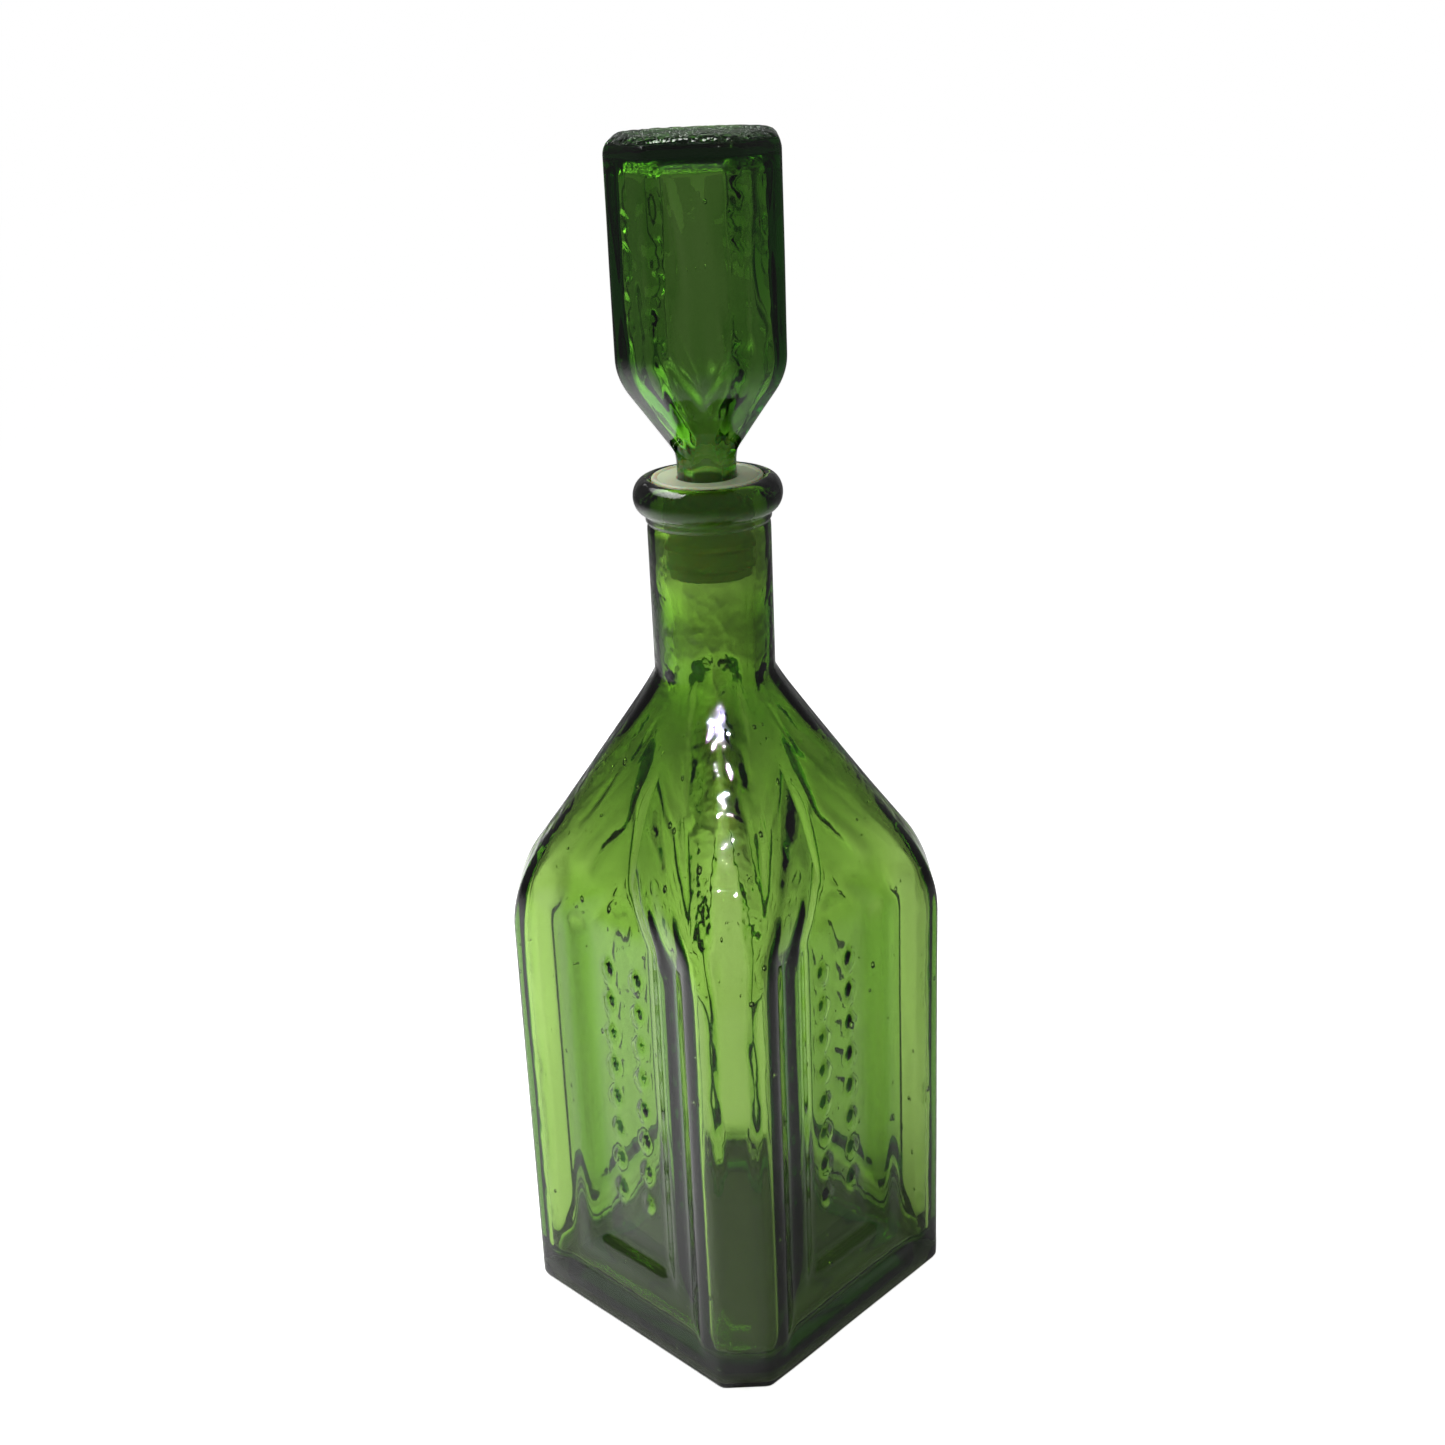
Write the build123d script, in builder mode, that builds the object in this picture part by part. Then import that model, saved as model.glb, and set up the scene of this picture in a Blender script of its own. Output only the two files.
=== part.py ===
from build123d import *
import os
from dataclasses import dataclass
from math import cos, radians, sin, sqrt, tan

# A square glass decanter bottle with a hollow glass stopper held in a plastic sleeve.
# Millimetres, +Z up, origin at the centre of the foot, body faces square to X and Y.

# Body and shoulder, outside
body_width = 76.2  # across the flats
corner_leg = 7.7  # leg of the cut-off vertical corners
face_turn_height = 107.0  # where the flat faces lean in
face_lean = 28.8  # degrees from upright
face_bend = 24.0  # radius of that turn
corner_turn_drop = 1.4  # the corner strips lean in this much lower
corner_lean = 36.0
corner_bend = 34.0
corner_softness = 1.6  # radius along both edges of a corner strip
heel_softness = 1.4  # radius round the foot

# Stepped panels on the four faces
step_depth = 2.4  # how far each of the two steps sinks
outer_step_run = 5.2  # how far its sloping wall runs inward
outer_panel_margin = 13.5  # from the side of the body to the edge of the outer step
outer_panel_foot = 6.9
outer_panel_spring_drop = 1.0  # its top starts to close this far below the turn
outer_panel_tip_rise = 29.0  # up the leaning face from its turn to the point
inner_step_run = 4.2
inner_panel_margin = 23.7
inner_panel_foot = 17.0
inner_panel_spring_drop = 2.5
inner_panel_tip_rise = 17.5

# Raised lozenges on the inner panels
lozenge_width = 4.6
lozenge_height = 6.2
lozenge_rise = 0.8
lozenge_pitch = 8.2
lozenge_columns = 2
lozenge_rows = 8
lozenge_column_gap = 9.0
lozenge_middle = 64.0  # height of the middle of the columns
lozenge_taper = 35.0  # degrees its sides lean in

# Inside of the bottle
panel_wall = 2.8  # glass behind an inner panel
floor_thickness = 8.0
cavity_corner = 12.0  # radius of the upright corners
cavity_floor_softness = 6.0
cavity_bend = 26.0
cavity_turn_drop = 6.0  # the inside turns in this much lower than the outside
bore_radius = 9.2
push_up_half = 27.0  # hollow under the foot
push_up_corner = 9.0
push_up_depth = 1.6
push_up_taper = 40.0

# Neck, ring and lip
neck_radius = 13.2
neck_length = 34.2
neck_root = 6.6  # how far the neck starts below its base, inside the shoulder
crease_depth = 0.3
crease_height = 0.7
ring_overhang = 0.25
ring_height = 1.3
lip_overhang = 2.7
lip_height = 7.6
seat_depth = 1.5  # the flange sinks this much into the lip

# Plastic sleeve
flange_radius = 11.8
flange_thickness = 1.8
flange_rim_width = 0.9
flange_dish_depth = 0.35
plug_length = 19.4
plug_floor = 2.0
fin_count = 4
fin_reach = 0.65  # how far a fin stands out of the plug
fin_height = 1.4
fin_pitch = 4.2
fin_first = 2.6  # from the end of the plug to the first fin's tip

# Stopper, measured from its flat top, which is the foot of the miniature bottle
head_width = 34.8
head_corner_leg = 8.0
head_turn_height = 47.0
head_lean = 33.8
head_bend = 13.0
head_corner_turn_drop = 1.1
head_corner_lean = 34.2
head_corner_bend = 15.0
head_corner_softness = 1.0
head_top_softness = 3.2
stopper_length = 88.3
shank_radius = 6.3
head_panel_depth = 0.8
head_panel_run = 0.9
head_panel_half = 7.0
head_panel_foot = 5.3
head_panel_spring_drop = 6.1
head_panel_tip_rise = 6.9
head_wall = 3.6
head_top_wall = 4.6
head_cavity_corner = 6.5
head_cavity_turn_drop = 3.9
head_cavity_bend = 9.0
head_cavity_softness = 3.0
shank_bore = 3.2
stopper_twist = 43.5  # degrees the stopper is turned from square with the body

# Fits and construction
running_clearance = 0.05  # radial, fins in the bore and shank in the sleeve
flange_clearance = 0.3  # radial, flange in its seat
overlap = 0.5  # how far a joined shape starts inside its neighbour
block_overrun = 2.0  # how far the shoulder runs on inside the neck
cut_off_half = 1.0  # half width at which an outline that leans in is cut off
side_count = 4
tolerance = 0.01

body_half = body_width / 2
corner_half = (body_width - corner_leg) / sqrt(2)
corner_turn_height = face_turn_height - corner_turn_drop
neck_base = corner_turn_height + (corner_half - neck_radius) / tan(radians(corner_lean))
crease_base = neck_base + neck_length
ring_base = crease_base + crease_height
lip_base = ring_base + ring_height
lip_top = lip_base + lip_height
seat_height = lip_top - seat_depth
flange_top = seat_height + flange_thickness
plug_base = seat_height - plug_length
shank_end = plug_base + plug_floor
stopper_top = shank_end + stopper_length
seat_radius = flange_radius + flange_clearance
plug_radius = bore_radius - running_clearance - fin_reach


@dataclass
class Wall:
    """One upright wall that leans in above a turn, seen edge on."""

    half: float  # distance of the upright stretch from the axis
    turn_height: float
    lean: float  # degrees from upright above the turn
    bend: float  # radius of the turn

    def sunk(self, depth):
        """The same wall moved inward by depth, square to its surface."""
        drop = depth * tan(radians(self.lean / 2))
        return Wall(self.half - depth, self.turn_height - drop, self.lean, self.bend - depth)

    def turn(self):
        """Middle of the sharp corner where the upright stretch meets the leaning one."""
        return Vector(self.half, 0, self.turn_height)

    def leaning_up(self):
        """Upward direction along the leaning stretch."""
        lean = radians(self.lean)
        return Vector(-sin(lean), 0, cos(lean))

    def mitre(self):
        """Plane halfway between the two stretches."""
        return Plane(origin=self.turn(), z_dir=self.leaning_up() + Vector(0, 0, 1))

    def outline(self, plane, low):
        """Sketch the space between this wall and its opposite, from low to a narrow top."""
        top = self.turn_height + (self.half - cut_off_half) / tan(radians(self.lean))
        right = [(self.half, low), (self.half, self.turn_height), (cut_off_half, top)]
        left = [(-x, y) for x, y in reversed(right)]
        with BuildSketch(plane) as sketch:
            with BuildLine():
                Polyline(*right, *left, close=True)
            make_face()
            turns = [v for v in sketch.vertices() if abs(v.Y - self.turn_height) < tolerance]
            fillet(turns, self.bend)
        return sketch.sketch


def square_block(face, corner, top, softness):
    """Solid square body with cut corners and a pyramid shoulder, from z = 0 to a top."""
    with BuildPart() as block:
        extrude(face.outline(Plane.XZ, 0), amount=2 * face.half, both=True)
        for wall, turn in ((face, 90), (corner, 45), (corner, 135)):
            outline = wall.outline(Plane.XZ.rotated((0, 0, turn)), 0)
            extrude(outline, amount=2 * face.half, both=True, mode=Mode.INTERSECT)
        split(bisect_by=Plane.XY.offset(top), keep=Keep.BOTTOM)
        rising = [e for e in block.edges() if abs((e @ 0).Z - (e @ 1).Z) > tolerance]
        fillet(rising, softness)
    return block.part


def panel_stretch(wall, side_edges, depth, run, keep):
    """Part of a panel's pocket on the +X wall, on one side of the mitre at its turn.

    side_edges lists, for the +Y side, a point on each edge and the way that edge runs upward.
    """
    inward = wall.sunk(depth).turn() - wall.turn() - Vector(0, run, 0)
    reach = 2 * (wall.half + wall.turn_height)
    with BuildPart() as stretch:
        with Locations(wall.turn()):
            Box(reach, reach, reach)
        split(bisect_by=wall.mitre(), keep=keep)
        for point, way in side_edges:
            normal = way.cross(inward)
            for side in (1, -1):
                origin = Vector(point.X, side * point.Y, point.Z)
                pocket_way = Vector(normal.X, side * normal.Y, normal.Z)
                split(bisect_by=Plane(origin=origin, z_dir=pocket_way), keep=Keep.TOP)
    return stretch.part


def panel_cutter(wall, half, foot, spring, tip_rise, depth, run):
    """Pocket on the +X face: sloping walls, and a floor that follows the face at a depth.

    Its sides stand upright from foot to spring, then close to a point that lies tip_rise
    above the turn, measured up the leaning face.
    """
    closing_rise = wall.turn_height - spring + tip_rise
    side = Vector(wall.half, half, spring)
    turn_side = wall.turn() + Vector(0, half * tip_rise / closing_rise, 0)
    closing = Vector(0, -half, closing_rise)
    leaning_closing = wall.leaning_up() * closing_rise - Vector(0, half, 0)
    upright_edges = [(side, Vector(0, 0, 1)), (turn_side, closing)]
    upright = panel_stretch(wall, upright_edges, depth, run, Keep.BOTTOM)
    leaning = panel_stretch(wall, [(turn_side, leaning_closing)], depth, run, Keep.TOP)
    reach = 2 * wall.half
    with BuildPart() as cutter:
        add(upright)
        split(bisect_by=Plane(origin=(wall.half, 0, foot), z_dir=(run, 0, depth)), keep=Keep.TOP)
        add(leaning)
        core = wall.sunk(depth).outline(Plane.XZ, -reach)
        extrude(core, amount=reach, both=True, mode=Mode.SUBTRACT)
    return cutter.part


def rounded_column(sections, bend, floor_softness):
    """Hollow shape lofted through (half width, corner radius, height) sections."""
    with BuildPart() as column:
        for half, corner_radius, height in sections:
            with BuildSketch(Plane.XY.offset(height)):
                RectangleRounded(2 * half, 2 * half, corner_radius)
        loft(ruled=True)
        turn_height = sections[1][2]
        turn = [e for e in column.edges() if abs(e.center().Z - turn_height) < tolerance]
        fillet(turn, bend)
        fillet(column.edges().group_by(Axis.Z)[0], floor_softness)
    return column.part


def lozenges(floor_x):
    """Columns of raised lozenges on the floor of the panel that faces +X."""
    start = Plane(origin=(floor_x - overlap, 0, lozenge_middle), x_dir=(0, 1, 0), z_dir=(1, 0, 0))
    half_width = lozenge_width / 2
    half_height = lozenge_height / 2
    with BuildPart() as pads:
        with BuildSketch(start):
            with GridLocations(lozenge_column_gap, lozenge_pitch, lozenge_columns, lozenge_rows):
                Polygon((0, half_height), (-half_width, 0), (0, -half_height), (half_width, 0))
        extrude(amount=overlap + lozenge_rise, taper=lozenge_taper)
    return pads.part


def neck_outline():
    """Half outline of the neck, crease, ring and lip, to be turned about the axis."""
    ring_radius = neck_radius + ring_overhang
    lip_middle = lip_base + lip_height / 2
    lip_core = neck_radius - ring_overhang
    reach = lip_overhang + ring_overhang
    with BuildSketch(Plane.XZ) as sketch:
        with BuildLine():
            Polyline(
                (lip_core, lip_top),
                (0, lip_top),
                (0, neck_base - neck_root),
                (neck_radius, neck_base - neck_root),
                (neck_radius, crease_base - crease_height),
                (neck_radius - crease_depth, crease_base),
                (ring_radius, ring_base),
                (ring_radius, lip_base),
                (lip_core, lip_base),
            )
            EllipticalCenterArc((lip_core, lip_middle), reach, lip_height / 2, -90, arc_size=180)
        make_face()
    return sketch.sketch


# Bottle
face_wall = Wall(body_half, face_turn_height, face_lean, face_bend)
corner_wall = Wall(corner_half, corner_turn_height, corner_lean, corner_bend)
body_block = square_block(face_wall, corner_wall, neck_base + block_overrun, corner_softness)

outer_panel = panel_cutter(
    face_wall,
    body_half - outer_panel_margin,
    outer_panel_foot,
    face_turn_height - outer_panel_spring_drop,
    outer_panel_tip_rise,
    step_depth,
    outer_step_run,
)
inner_panel = panel_cutter(
    face_wall.sunk(step_depth),
    body_half - inner_panel_margin,
    inner_panel_foot,
    face_turn_height - inner_panel_spring_drop,
    inner_panel_tip_rise,
    step_depth,
    inner_step_run,
)
panel_floor = body_half - 2 * step_depth
panel_lozenges = lozenges(panel_floor)

cavity_half = panel_floor - panel_wall
cavity_turn = face_turn_height - cavity_turn_drop
cavity = rounded_column(
    [
        (cavity_half, cavity_corner, floor_thickness),
        (cavity_half, cavity_corner, cavity_turn),
        (bore_radius, bore_radius - tolerance, neck_base - overlap),
    ],
    cavity_bend,
    cavity_floor_softness,
)

with BuildPart() as bottle:
    add(body_block)
    revolve(neck_outline(), axis=Axis.Z)
    with PolarLocations(0, side_count):
        add(outer_panel, mode=Mode.SUBTRACT)
        add(inner_panel, mode=Mode.SUBTRACT)
        add(panel_lozenges)
    fillet(bottle.edges().group_by(Axis.Z)[0], heel_softness)
    add(cavity, mode=Mode.SUBTRACT)
    with BuildSketch(Plane.XY.offset(neck_base - 2 * overlap)):
        Circle(bore_radius)
    extrude(until=Until.LAST, mode=Mode.SUBTRACT)
    with BuildSketch(Plane.XY.offset(seat_height)):
        Circle(seat_radius)
    extrude(amount=2 * seat_depth, mode=Mode.SUBTRACT)
    with BuildSketch():
        RectangleRounded(2 * push_up_half, 2 * push_up_half, push_up_corner)
    extrude(amount=push_up_depth, taper=push_up_taper, mode=Mode.SUBTRACT)


# Sleeve
def sleeve_outline():
    """Half outline of the flange, the finned plug and its closed floor."""
    fin_radius = bore_radius - running_clearance
    socket_radius = shank_radius + running_clearance
    points = [(0, plug_base), (plug_radius, plug_base)]
    for number in range(fin_count):
        tip = plug_base + fin_first + number * fin_pitch
        points += [
            (plug_radius, tip - fin_height / 2),
            (fin_radius, tip),
            (plug_radius, tip + fin_height / 2),
        ]
    points += [
        (plug_radius, seat_height),
        (flange_radius, seat_height),
        (flange_radius, flange_top),
        (flange_radius - flange_rim_width, flange_top),
        (flange_radius - flange_rim_width - flange_dish_depth, flange_top - flange_dish_depth),
        (socket_radius, flange_top - flange_dish_depth),
        (socket_radius, shank_end),
        (0, shank_end),
    ]
    with BuildSketch(Plane.XZ) as sketch:
        with BuildLine():
            Polyline(*points, close=True)
        make_face()
    return sketch.sketch


with BuildPart() as stopper_sleeve:
    revolve(sleeve_outline(), axis=Axis.Z)

# Stopper, built foot down as a miniature bottle and then stood on its head
head_half = head_width / 2
head_face = Wall(head_half, head_turn_height, head_lean, head_bend)
head_corner_half = (head_width - head_corner_leg) / sqrt(2)
head_corner_turn_height = head_turn_height - head_corner_turn_drop
head_corner = Wall(
    head_corner_half, head_corner_turn_height, head_corner_lean, head_corner_bend
)
head_taper_rise = (head_corner_half - shank_radius) / tan(radians(head_corner_lean))
head_length = head_corner_turn_height + head_taper_rise
head_block = square_block(head_face, head_corner, head_length + overlap, head_corner_softness)
head_panel = panel_cutter(
    head_face,
    head_panel_half,
    head_panel_foot,
    head_turn_height - head_panel_spring_drop,
    head_panel_tip_rise,
    head_panel_depth,
    head_panel_run,
)
head_cavity_half = head_half - head_panel_depth - head_wall
head_cavity = rounded_column(
    [
        (head_cavity_half, head_cavity_corner, head_top_wall),
        (head_cavity_half, head_cavity_corner, head_turn_height - head_cavity_turn_drop),
        (shank_bore, shank_bore - tolerance, head_length + overlap),
    ],
    head_cavity_bend,
    head_cavity_softness,
)

with BuildPart() as miniature:
    add(head_block)
    with BuildSketch(Plane.XY.offset(head_turn_height)):
        Circle(shank_radius)
    extrude(amount=stopper_top - shank_end - head_turn_height)
    fillet(miniature.edges().group_by(Axis.Z)[0], head_top_softness)
    with PolarLocations(0, side_count):
        add(head_panel, mode=Mode.SUBTRACT)
    add(head_cavity, mode=Mode.SUBTRACT)
    with BuildSketch(Plane.XY.offset(head_length)):
        Circle(shank_bore)
    extrude(until=Until.LAST, mode=Mode.SUBTRACT)

with BuildPart() as stopper:
    with Locations(Location((0, 0, stopper_top), (180, 0, stopper_twist))):
        add(miniature.part)

os.makedirs("parts", exist_ok=True)
bottle.part.label = "bottle"
stopper_sleeve.part.label = "stopper_sleeve"
stopper.part.label = "stopper"
export_step(bottle.part, "parts/bottle.step")
export_step(stopper_sleeve.part, "parts/stopper_sleeve.step")
export_step(stopper.part, "parts/stopper.step")
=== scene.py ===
"""Looks of the square glass decanter: bottle, plastic sleeve and hollow stopper."""

import logging
import math
from dataclasses import dataclass, field
from enum import Enum
from typing import Sequence, Union

import bpy
import numpy as np
from mathutils import Matrix, Vector

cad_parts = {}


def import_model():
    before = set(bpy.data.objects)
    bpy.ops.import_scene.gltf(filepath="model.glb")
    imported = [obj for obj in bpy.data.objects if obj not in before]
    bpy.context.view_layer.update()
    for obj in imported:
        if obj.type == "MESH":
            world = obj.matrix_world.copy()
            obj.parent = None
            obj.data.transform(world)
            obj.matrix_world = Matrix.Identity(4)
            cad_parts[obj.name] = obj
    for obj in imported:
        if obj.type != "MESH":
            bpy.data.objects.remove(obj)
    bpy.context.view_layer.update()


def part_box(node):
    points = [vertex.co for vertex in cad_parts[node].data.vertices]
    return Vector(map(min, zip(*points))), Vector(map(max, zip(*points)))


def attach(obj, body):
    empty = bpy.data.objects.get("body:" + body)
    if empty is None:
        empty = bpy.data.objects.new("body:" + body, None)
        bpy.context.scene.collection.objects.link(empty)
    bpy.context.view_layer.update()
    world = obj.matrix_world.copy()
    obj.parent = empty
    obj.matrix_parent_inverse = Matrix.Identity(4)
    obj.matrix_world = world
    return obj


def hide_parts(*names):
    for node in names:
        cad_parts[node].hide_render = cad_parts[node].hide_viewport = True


log = logging.getLogger("decanter")

MM = 0.001
WHITE = (1.0, 1.0, 1.0, 1.0)
SIDES = 4
FAR_OFF = 1e3  # beyond any panel, in millimetres
NECK_SOFTNESS = 1.2  # where the shoulder meets the neck, in millimetres
BORE_SOFTNESS = 0.3  # where the hollow meets the bore, as a share of its radius
PUSH_RUN = 1.9  # width of the slope round the hollow under the foot, in millimetres
EDGE_SOFTNESS = 0.16  # of a panel's sloping edge, as a share of its width

Array = np.ndarray
Numbers = Union[Array, float]
Piece = bpy.types.Object
Pair = tuple[float, float]
Outline = tuple[Pair, ...]  # radius and height of each point


# ---------------------------------------------------------------- shader maths


class Sock:
    """One output socket, or a number, that can be used in Python arithmetic."""

    def __init__(self, tree: "Shader", value: Union[bpy.types.NodeSocket, float]) -> None:
        """Wrap a socket of a node tree."""
        self.tree = tree
        self.value = value

    def _math(self, operation: str, first: object, second: object) -> "Sock":
        """Add one Math node."""
        return self.tree.node("ShaderNodeMath", {"operation": operation}, {0: first, 1: second})

    def __add__(self, other: object) -> "Sock":
        """Add."""
        return self._math("ADD", self, other)

    __radd__ = __add__

    def __sub__(self, other: object) -> "Sock":
        """Subtract."""
        return self._math("SUBTRACT", self, other)

    def __rsub__(self, other: object) -> "Sock":
        """Subtract this from a number."""
        return self._math("SUBTRACT", other, self)

    def __mul__(self, other: object) -> "Sock":
        """Multiply."""
        return self._math("MULTIPLY", self, other)

    __rmul__ = __mul__

    def apart(self) -> "Sock":
        """Distance of the value from zero."""
        return self._math("ABSOLUTE", self, 0.0)

    def at_least(self, other: object) -> "Sock":
        """The larger of the two."""
        return self._math("MAXIMUM", self, other)


class Shader:
    """A material's or world's node tree, filled by one call per node."""

    def __init__(self, owner: Union[bpy.types.Material, bpy.types.World]) -> None:
        """Empty the owner's node tree.

        Args:
            owner: material or world whose nodes are to be made.
        """
        owner.use_nodes = True
        self.tree = owner.node_tree
        self.tree.nodes.clear()

    def node(self, kind: str, settings: dict, inputs: dict, output: object = 0) -> Sock:
        """Add a node.

        Args:
            kind: Blender's name of the node type.
            settings: attributes that are set before the sockets.
            inputs: value or link of each input socket, by name or number.
            output: name or number of the output that is returned.

        Returns:
            The wrapped output socket.
        """
        made = self.tree.nodes.new(kind)
        for name, value in settings.items():
            setattr(made, name, value)
        for name, value in inputs.items():
            socket = made.inputs[name]
            if isinstance(value, Sock):
                self.tree.links.new(value.value, socket)
            else:
                socket.default_value = value
        return Sock(self, made.outputs[output] if made.outputs else None)

    def place(self) -> Sock:
        """Object coordinates, in metres."""
        return self.node("ShaderNodeTexCoord", {}, {}, "Object")

    def scaled(self, place: Sock, scale: Sequence[float]) -> Sock:
        """Stretch coordinates by one factor for each axis."""
        return self.node("ShaderNodeMapping", {}, {"Vector": place, "Scale": scale})

    def axis(self, place: Sock, name: str) -> Sock:
        """One coordinate, X, Y or Z."""
        return self.node("ShaderNodeSeparateXYZ", {}, {0: place}, name)

    def mixed(self, share: Sock, low: Sequence[float], high: Sequence[float]) -> Sock:
        """Mix two colours, the low one where the share is 0 and the high one where it is 1."""
        inputs = {"Factor": share, 6: (*low, 1.0), 7: (*high, 1.0)}
        return self.node("ShaderNodeMix", {"data_type": "RGBA"}, inputs, 2)

    def noise(self, place: Sock, scale: float, detail: float, distortion: float = 0.0) -> Sock:
        """Cloudy noise from 0 to 1."""
        values = {"Vector": place, "Scale": scale, "Detail": detail, "Distortion": distortion}
        return self.node("ShaderNodeTexNoise", {}, values, "Fac")

    def smooth(self, value: Sock, low: float, high: float) -> Sock:
        """Ease a value from 0 at low to 1 at high."""
        settings = {"interpolation_type": "SMOOTHSTEP"}
        return self.node("ShaderNodeMapRange", settings, {"Value": value, 1: low, 2: high})

    def bump(self, height: Sock, depth: float, below: Union[Sock, None] = None) -> Sock:
        """Turn a height from 0 to 1 into a bent normal.

        Args:
            height: height of the bumps.
            depth: what a height of 1 stands for, in metres.
            below: bent normal that these bumps lie on, if any.

        Returns:
            The bent normal.
        """
        values = {"Height": height, "Distance": depth}
        if below is not None:
            values["Normal"] = below
        return self.node("ShaderNodeBump", {}, values)


# ------------------------------------------------------------------- finishes


@dataclass(frozen=True)
class Glass:
    """Coloured glass: clear, with a colour that deepens with its thickness."""

    name: str
    tint: tuple[float, float, float]
    density: float  # absorption for each metre of glass
    ripple: float  # depth of the skin's ripple, in metres
    stipple: float = 0.0  # depth of the stipple pressed into a flat top, in metres
    stipple_from: float = 10.0  # height where it has its full depth, in metres
    stipple_fade: float = 0.0006  # height over which it comes in
    stipple_scale: float = 900.0
    scales: float = 0.0  # depth of the fine scales on the shoulder's corner strips, in metres
    scales_scale: float = 210.0
    strip: Pair = (0.005, 0.010)  # where the scales end, off a strip's middle
    shoulder: Pair = (0.104, 0.116)  # heights over which the scales come in
    cord_scale: float = 260.0
    cord_share: float = 0.75  # of the ripple, the rest being the fine skin
    skin_scale: float = 700.0
    index: float = 1.52
    gloss: float = 0.3

    def scaled_strips(self, shader: Shader, place: Sock, normal: Sock) -> Sock:
        """Roughen the corner strips of the shoulder, which makes their gloss sparkle.

        Args:
            shader: node tree of the glass.
            place: object coordinates.
            normal: bent normal of the glass so far.

        Returns:
            The normal with the scales.
        """
        off = (shader.axis(place, "X").apart() - shader.axis(place, "Y").apart()).apart()
        near = 1.0 - shader.smooth(off, *self.strip)
        high = shader.smooth(shader.axis(place, "Z"), *self.shoulder)
        waves = shader.noise(shader.scaled(place, (1.0, 1.0, 0.8)), self.scales_scale, 2.0)
        return shader.bump(waves * near * high, self.scales, normal)

    def material(self) -> bpy.types.Material:
        """Make the material.

        Returns:
            The new material.
        """
        material = bpy.data.materials.new(self.name)
        shader = Shader(material)
        place = shader.place()
        cords = shader.noise(shader.scaled(place, (1.0, 1.0, 0.3)), self.cord_scale, 2.0, 0.6)
        skin = shader.noise(place, self.skin_scale, 1.0)
        height = cords * self.cord_share + skin * (1.0 - self.cord_share)
        normal = shader.bump(height, self.ripple)
        if self.scales:
            normal = self.scaled_strips(shader, place, normal)
        if self.stipple:
            pattern = {"Vector": place, "Scale": self.stipple_scale}
            dots = shader.node("ShaderNodeTexVoronoi", {}, pattern)
            start = self.stipple_from - self.stipple_fade
            top = shader.smooth(shader.axis(place, "Z"), start, self.stipple_from)
            normal = shader.bump(dots * top, self.stipple, normal)
        values = {
            "Base Color": WHITE,
            "Roughness": 0.0,
            "IOR": self.index,
            "Transmission Weight": 1.0,
            "Specular IOR Level": self.gloss,
            "Normal": normal,
        }
        surface = shader.node("ShaderNodeBsdfPrincipled", {}, values)
        depth = {"Color": (*self.tint, 1.0), "Density": self.density}
        volume = shader.node("ShaderNodeVolumeAbsorption", {}, depth)
        shader.node("ShaderNodeOutputMaterial", {}, {"Surface": surface, "Volume": volume})
        return material


@dataclass(frozen=True)
class Plastic:
    """Soft milky plastic that lets some light through."""

    name: str
    colour: tuple[float, float, float]
    roughness: float
    dim: float = 0.86  # colour of the clouds' darker side, as a share of the colour
    cloud_scale: float = 160.0
    grain_scale: float = 1800.0
    grain_depth: float = 0.00003  # in metres
    grain_matt: float = 0.12  # roughness that the grain adds

    def material(self) -> bpy.types.Material:
        """Make the material.

        Returns:
            The new material.
        """
        material = bpy.data.materials.new(self.name)
        shader = Shader(material)
        place = shader.place()
        cloud = shader.noise(place, self.cloud_scale, 3.0)
        grain = shader.noise(place, self.grain_scale, 2.0)
        deep = tuple(self.dim * part for part in self.colour)
        values = {
            "Base Color": shader.mixed(cloud, deep, self.colour),
            "Roughness": grain * self.grain_matt + self.roughness,
            "IOR": 1.5,
            "Subsurface Weight": 0.6,
            "Subsurface Scale": 0.002,
            "Transmission Weight": 0.35,
            "Normal": shader.bump(grain, self.grain_depth),
        }
        surface = shader.node("ShaderNodeBsdfPrincipled", {}, values)
        shader.node("ShaderNodeOutputMaterial", {}, {"Surface": surface})
        return material


class Slot(Enum):
    """Material slots of the record."""

    BOTTLE = "bottle_glass"
    SLEEVE = "sleeve_plastic"
    STOPPER = "stopper_glass"


BOTTLE_GLASS = Glass(
    name="green_bottle_glass",
    tint=(0.53, 0.735, 0.1),
    density=360.0,
    ripple=0.000015,
    scales=0.00045,
)
STOPPER_GLASS = Glass(
    name="green_stopper_glass",
    tint=(0.40, 0.72, 0.0),
    density=380.0,
    ripple=0.00002,
    stipple=0.0012,
    stipple_from=0.2661,
)
SLEEVE_PLASTIC = Plastic(name="pale_plastic", colour=(0.84, 0.90, 0.62), roughness=0.32)


# ---------------------------------------------------------------- shape maths


def bend(x: Numbers, ease: float) -> Array:
    """Zero below -ease, x above ease, and a smooth curve between."""
    curve = (x + ease) ** 2 / (4 * ease)
    return np.where(x <= -ease, 0.0, np.where(x >= ease, x, curve))


def ramp(x: Numbers, soft: float) -> Array:
    """Rise from 0 to 1 as x does, with both corners softened."""
    return bend(x, soft) - bend(x - 1, soft)


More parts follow.
